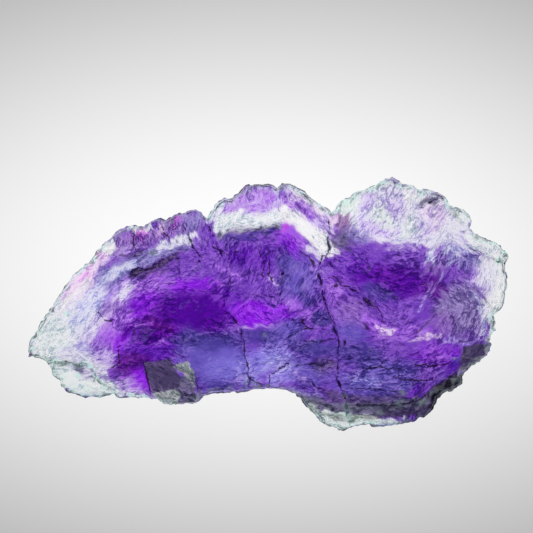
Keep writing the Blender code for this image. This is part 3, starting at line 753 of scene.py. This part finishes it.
def startGroup(name, inputs, outputs):
    tree = bpy.data.node_groups.new(name, "ShaderNodeTree")
    for side, sockets in (("INPUT", inputs), ("OUTPUT", outputs)):
        for label, kind in sockets:
            tree.interface.new_socket(name=label, in_out=side, socket_type=kind)
    return tree, tree.nodes.new("NodeGroupInput").outputs, tree.nodes.new("NodeGroupOutput").inputs


reliefSetup = {
    "chipBend": (1.3, 1.3, 1.3),  # how far noise bends the borders of the chips, in chips
    "chipSlope": (1.2, 1.2, 0),
    "seamWidth": (0.14, 0.01),  # where a seam starts and where it is full, in chips
    "streakDepth": 0.6,
    "slopeStep": (0.05, 0.16, 0.04),  # the slope of a streak is taken over this step
    "slopeGain": 6.0,
    "lineWidth": (0.035, 0),
}


def makeChips():
    # Flat-faced chips: how each leans, the thin seams between them, and their height
    inputs = [("Place", "NodeSocketVector"), ("Size", "NodeSocketFloat")]
    outputs = [("Lean", "NodeSocketFloat"), ("Seam", "NodeSocketFloat"), ("Height", "NodeSocketFloat")]
    tree, given, made = startGroup("chips", inputs, outputs)
    spot = calcVector(tree, "DIVIDE", given["Place"], given["Size"])
    cloud = addNode(tree, "ShaderNodeTexNoise", Vector=spot, Scale=0.9, Detail=3)
    drift = calcVector(tree, "SUBTRACT", cloud.outputs["Color"], (0.5, 0.5, 0.5))
    spot = calcVector(tree, "ADD", spot, calcVector(tree, "MULTIPLY", drift, reliefSetup["chipBend"]))
    cells = addNode(tree, "ShaderNodeTexVoronoi", Vector=spot, Scale=1)
    seams = addNode(tree, "ShaderNodeTexVoronoi", Vector=spot, Scale=1)
    seams.feature = "DISTANCE_TO_EDGE"
    slope = calcVector(tree, "SUBTRACT", cells.outputs["Color"], (0.5, 0.5, 0.5))
    offset = calcVector(tree, "SUBTRACT", spot, cells.outputs["Position"])
    rise = calcVector(tree, "DOT_PRODUCT", offset, slope)
    feed(tree, made["Lean"], calcVector(tree, "DOT_PRODUCT", slope, reliefSetup["chipSlope"]))
    feed(tree, made["Seam"], remap(tree, seams.outputs["Distance"], *reliefSetup["seamWidth"]))
    feed(tree, made["Height"], calc(tree, "MULTIPLY", rise, given["Size"]))
    return tree


def makeStreaks():
    # Long waves along the grain, how they slope, and the thin lines halfway up them
    inputs = [("Place", "NodeSocketVector"), ("Size", "NodeSocketFloat"), ("Stretch", "NodeSocketFloat")]
    outputs = [("Wave", "NodeSocketFloat"), ("Slope", "NodeSocketFloat"), ("Line", "NodeSocketFloat")]
    tree, given, made = startGroup("streaks", inputs, outputs)
    spot = calcVector(tree, "DIVIDE", given["Place"], given["Size"])
    length = calc(tree, "DIVIDE", 1.0, given["Stretch"])
    narrow = addNode(tree, "ShaderNodeCombineXYZ", X=length, Y=1, Z=reliefSetup["streakDepth"])
    spot = calcVector(tree, "MULTIPLY", spot, narrow.outputs["Vector"])
    heights = []
    for step in ((0, 0, 0), reliefSetup["slopeStep"]):
        place = calcVector(tree, "ADD", spot, step)
        cloud = addNode(
            tree, "ShaderNodeTexNoise", Vector=place, Scale=1, Detail=3, Roughness=0.55, Distortion=0.5
        )
        heights.append(cloud.outputs["Fac"])
    wave = calc(tree, "SUBTRACT", heights[0], 0.5)
    slope = calc(tree, "SUBTRACT", *heights)
    feed(tree, made["Wave"], wave)
    feed(tree, made["Slope"], calc(tree, "MULTIPLY", slope, reliefSetup["slopeGain"]))
    feed(tree, made["Line"], remap(tree, calc(tree, "ABSOLUTE", wave), *reliefSetup["lineWidth"]))
    return tree


stoneSetup = {
    "coarseChip": 2.3,  # sizes in millimetres
    "fineChip": 0.75,
    "chipStretch": (0.55, 1, 1),  # below 1 the chips are longer along the grain
    "streak": 0.8,
    "streakStretch": 1.9,
    "fineStreak": 0.38,
    "fineStretch": 1.6,
    "paleFrom": (0.08, 0.55),  # how bright a zone is when it starts to count as pale, and when fully
    "paleLeast": 0.04,
    # Shade: how strongly each kind of relief turns the light that comes through
    "chipShade": 0.45,
    "slopeShade": 0.6,
    "waveShade": 0.4,
    "creaseShade": 0.5,
    "faceShade": 0.4,
    "paleShade": 0.28,  # pale zones are brighter as a whole
    "paleRelief": (1, 2.3),  # how strong the relief is in the darkest and in the palest zones
    "paleLight": (0.5, 1),  # the same for the bright chips
    "paleGlow": (0.1, 1),  # the same for the glints of the rim
    "paleGlint": 0.6,
    "shadowFrom": (-0.08, -0.42),
    "shadow": 0.88,
    "shadowTint": (0.22, 0.16, 0.36, 1),
    "paleShadow": (0.50, 0.56, 0.64, 1),
    "lightFrom": (0.1, 0.42),
    "light": 0.92,
    "glint": (1.0, 0.97, 1.0, 1),
    "white": (1, 1, 1, 1),
    "lift": 0.52,  # below 1 the bright chips of a dark zone are paler than the zone
    "liftTint": (0.85, 0.62, 1.0, 1),
    # Seams and lines
    "seamLitFrom": (0.0, 0.1),
    "seamLit": 0.7,
    # Painted shade along the seams where a wave dips
    "seamShadeFrom": (0.0, -0.12),
    "seamShade": 0.8,
    # Painted shade in the wrinkles
    "wrinkleShadeFrom": (-0.05, 0.2),
    "wrinkleShade": 0.75,
    "crackFrom": (-0.34, -0.55),
    "hairTear": -1.2,
    "hairFrom": (0.3, 0.75),
    "crack": 0.92,
    "crackColour": (0.01, 0.003, 0.03, 1),
    # Rim: painted glints and painted shade
    "rimSlope": 0.5,
    "rimLitFrom": (-0.15, 0.1),
    "rimLit": (0.1, 0.95),
    "rimGlintColour": (0.66, 0.98, 0.92, 1),
    "rimDarkFrom": (-0.12, -0.32),
    "rimDark": 0.8,
    "rimShadow": (0.16, 0.22, 0.22, 1),
    # Body
    "depthOfTop": 1.72,  # the broad face carries nearly all of the colour, the underside little
    "depthOfUnder": 0.2,
    "coarseRise": 0.4,
    "fineRise": 0.6,
    "waveRise": 0.7,
    "fineWaveRise": 0.3,
    "bump": 0.3 * mm,
    "bumpStrength": 0.8,
    "roughness": (0.13, 0.53),  # on a clean face and in a crack
    "roughnessSpread": 0.06,
    "ior": 1.434,
    "tint": (0.9, 0.84, 1.0, 1),
    "density": 20,
}


def makeFluorite():
    material = bpy.data.materials.new("bandedFluorite")
    material.use_nodes = True
    tree = material.node_tree
    shader = tree.nodes["Principled BSDF"]

    def attribute(name):
        node = tree.nodes.new("ShaderNodeAttribute")
        node.attribute_name = name
        return node.outputs

    def group(shared, **values):
        node = tree.nodes.new("ShaderNodeGroup")
        node.node_tree = shared
        for name, value in values.items():
            feed(tree, node.inputs[name], value)
        return node.outputs

    zone = attribute("zones")["Color"]
    marks = attribute("marks")
    parts = addNode(tree, "ShaderNodeSeparateColor", Color=marks["Color"]).outputs
    hair, rim, grit, under = parts["Red"], parts["Green"], parts["Blue"], marks["Alpha"]
    grain = attribute("grain")["Vector"]
    crease = attribute("crease")["Fac"]
    lean = attribute("lean")["Fac"]

    chips, streaks = makeChips(), makeStreaks()
    longer = calcVector(tree, "MULTIPLY", grain, stoneSetup["chipStretch"])
    coarse = group(chips, Place=longer, Size=stoneSetup["coarseChip"])
    fine = group(chips, Place=longer, Size=stoneSetup["fineChip"])
    wide = group(streaks, Place=grain, Size=stoneSetup["streak"], Stretch=stoneSetup["streakStretch"])
    thin = group(streaks, Place=grain, Size=stoneSetup["fineStreak"], Stretch=stoneSetup["fineStretch"])
    value = addNode(tree, "ShaderNodeRGBToBW", Color=zone).outputs["Val"]
    pale = remap(tree, value, *stoneSetup["paleFrom"], stoneSetup["paleLeast"], 1)

    # Leaning chips and waves deflect the light that comes through: some turn dark and some bright
    shade = weigh(
        tree,
        (coarse["Lean"], stoneSetup["chipShade"]),
        (fine["Lean"], stoneSetup["chipShade"]),
        (wide["Slope"], stoneSetup["slopeShade"]),
        (thin["Slope"], stoneSetup["slopeShade"]),
        (wide["Wave"], stoneSetup["waveShade"]),
        (crease, stoneSetup["creaseShade"]),
    )
    shade = calc(tree, "MULTIPLY", shade, grit)
    shade = calc(tree, "MULTIPLY", shade, between(tree, pale, *stoneSetup["paleRelief"]))
    shade = calc(tree, "MULTIPLY_ADD", pale, stoneSetup["paleShade"], shade)
    shade = calc(tree, "MULTIPLY_ADD", lean, stoneSetup["faceShade"], shade)
    dark = remap(tree, shade, *stoneSetup["shadowFrom"], 0, stoneSetup["shadow"])
    bright = remap(tree, shade, *stoneSetup["lightFrom"], 0, stoneSetup["light"])
    bright = calc(tree, "MULTIPLY", bright, between(tree, pale, *stoneSetup["paleLight"]))
    lifted = addNode(tree, "ShaderNodeGamma", Color=zone, Gamma=stoneSetup["lift"]).outputs["Color"]
    clear = blend(tree, "MIX", pale, stoneSetup["liftTint"], stoneSetup["glint"])
    glint = blend(tree, "MULTIPLY", 1.0, lifted, clear)
    whiter = calc(tree, "MULTIPLY", pale, stoneSetup["paleGlint"])
    glint = blend(tree, "MIX", whiter, glint, stoneSetup["white"])
    shadow = blend(tree, "MIX", pale, stoneSetup["shadowTint"], stoneSetup["paleShadow"])
    colour = blend(tree, "MULTIPLY", dark, zone, shadow)
    colour = blend(tree, "MIX", bright, colour, glint)

    # Seams between chips: a painted highlight where a wave rises over them, painted shade where it dips
    seam = calc(tree, "MULTIPLY", calc(tree, "MAXIMUM", fine["Seam"], coarse["Seam"]), grit)
    lit = remap(tree, wide["Wave"], *stoneSetup["seamLitFrom"], 0, stoneSetup["seamLit"])
    shadedSeam = remap(tree, wide["Wave"], *stoneSetup["seamShadeFrom"], 0, stoneSetup["seamShade"])
    colour = blend(tree, "MIX", calc(tree, "MULTIPLY", seam, lit), colour, glint)
    colour = blend(tree, "MULTIPLY", calc(tree, "MULTIPLY", seam, shadedSeam), colour, shadow)

    # Wrinkles: thin lines of painted shade that come and go with the chips
    wrinkleShade = remap(tree, fine["Lean"], *stoneSetup["wrinkleShadeFrom"], 0, stoneSetup["wrinkleShade"])
    wrinkleShade = calc(tree, "MULTIPLY", calc(tree, "MULTIPLY", wide["Line"], wrinkleShade), grit)
    colour = blend(tree, "MULTIPLY", wrinkleShade, colour, shadow)

    # Open cracks are the valleys of the form, broken up by noise, and hair cracks are torn by it
    valley = remap(tree, calc(tree, "ADD", wide["Wave"], crease), *stoneSetup["crackFrom"])
    opened = calc(tree, "MULTIPLY", valley, attribute("near")["Fac"])
    torn = calc(tree, "MULTIPLY_ADD", thin["Wave"], stoneSetup["hairTear"], hair)
    gap = calc(tree, "MAXIMUM", opened, remap(tree, torn, *stoneSetup["hairFrom"]))
    filled = calc(tree, "MULTIPLY", gap, stoneSetup["crack"])
    colour = blend(tree, "MIX", filled, colour, stoneSetup["crackColour"])

    # The thin rim breaks the light up: painted pale green glints between chips in painted shade
    turn = calc(tree, "MULTIPLY_ADD", thin["Slope"], stoneSetup["rimSlope"], fine["Lean"])
    glow = remap(tree, turn, *stoneSetup["rimLitFrom"], *stoneSetup["rimLit"])
    glow = calc(tree, "MULTIPLY", glow, rim)
    glow = calc(tree, "MULTIPLY", glow, between(tree, pale, *stoneSetup["paleGlow"]))
    colour = blend(tree, "MIX", glow, colour, stoneSetup["rimGlintColour"])
    rimShade = remap(tree, turn, *stoneSetup["rimDarkFrom"], 0, stoneSetup["rimDark"])
    colour = blend(tree, "MIX", calc(tree, "MULTIPLY", rimShade, rim), colour, stoneSetup["rimShadow"])

    # Light is tinted once by each face that it passes
    depth = remap(tree, under, 0, 1, stoneSetup["depthOfTop"], stoneSetup["depthOfUnder"])
    colour = blend(tree, "MIX", under, colour, zone)
    tinted = addNode(tree, "ShaderNodeGamma", Color=colour, Gamma=depth)
    tree.links.new(tinted.outputs["Color"], shader.inputs["Base Color"])

    height = weigh(
        tree,
        (coarse["Height"], stoneSetup["coarseRise"]),
        (fine["Height"], stoneSetup["fineRise"]),
        (wide["Wave"], stoneSetup["waveRise"]),
        (thin["Wave"], stoneSetup["fineWaveRise"]),
    )
    height = calc(tree, "MULTIPLY", height, grit)
    bump = addNode(tree, "ShaderNodeBump", Height=height, Distance=stoneSetup["bump"])
    bump.inputs["Strength"].default_value = stoneSetup["bumpStrength"]
    tree.links.new(bump.outputs["Normal"], shader.inputs["Normal"])

    dull = between(tree, gap, *stoneSetup["roughness"])
    dull = calc(tree, "MULTIPLY_ADD", fine["Lean"], stoneSetup["roughnessSpread"], dull)
    tree.links.new(dull, shader.inputs["Roughness"])
    shader.inputs["IOR"].default_value = stoneSetup["ior"]
    shader.inputs["Transmission Weight"].default_value = 1.0
    body = addNode(tree, "ShaderNodeVolumeAbsorption", Color=stoneSetup["tint"])
    body.inputs["Density"].default_value = stoneSetup["density"]
    tree.links.new(body.outputs["Volume"], tree.nodes["Material Output"].inputs["Volume"])
    print("fluorite made")
    return material


makeCamera()
makeTable()
makeLight()
slab = makeSlab()
slab.data.materials.append(makeFluorite())
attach(slab, "root")
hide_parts("fluorite_slab")
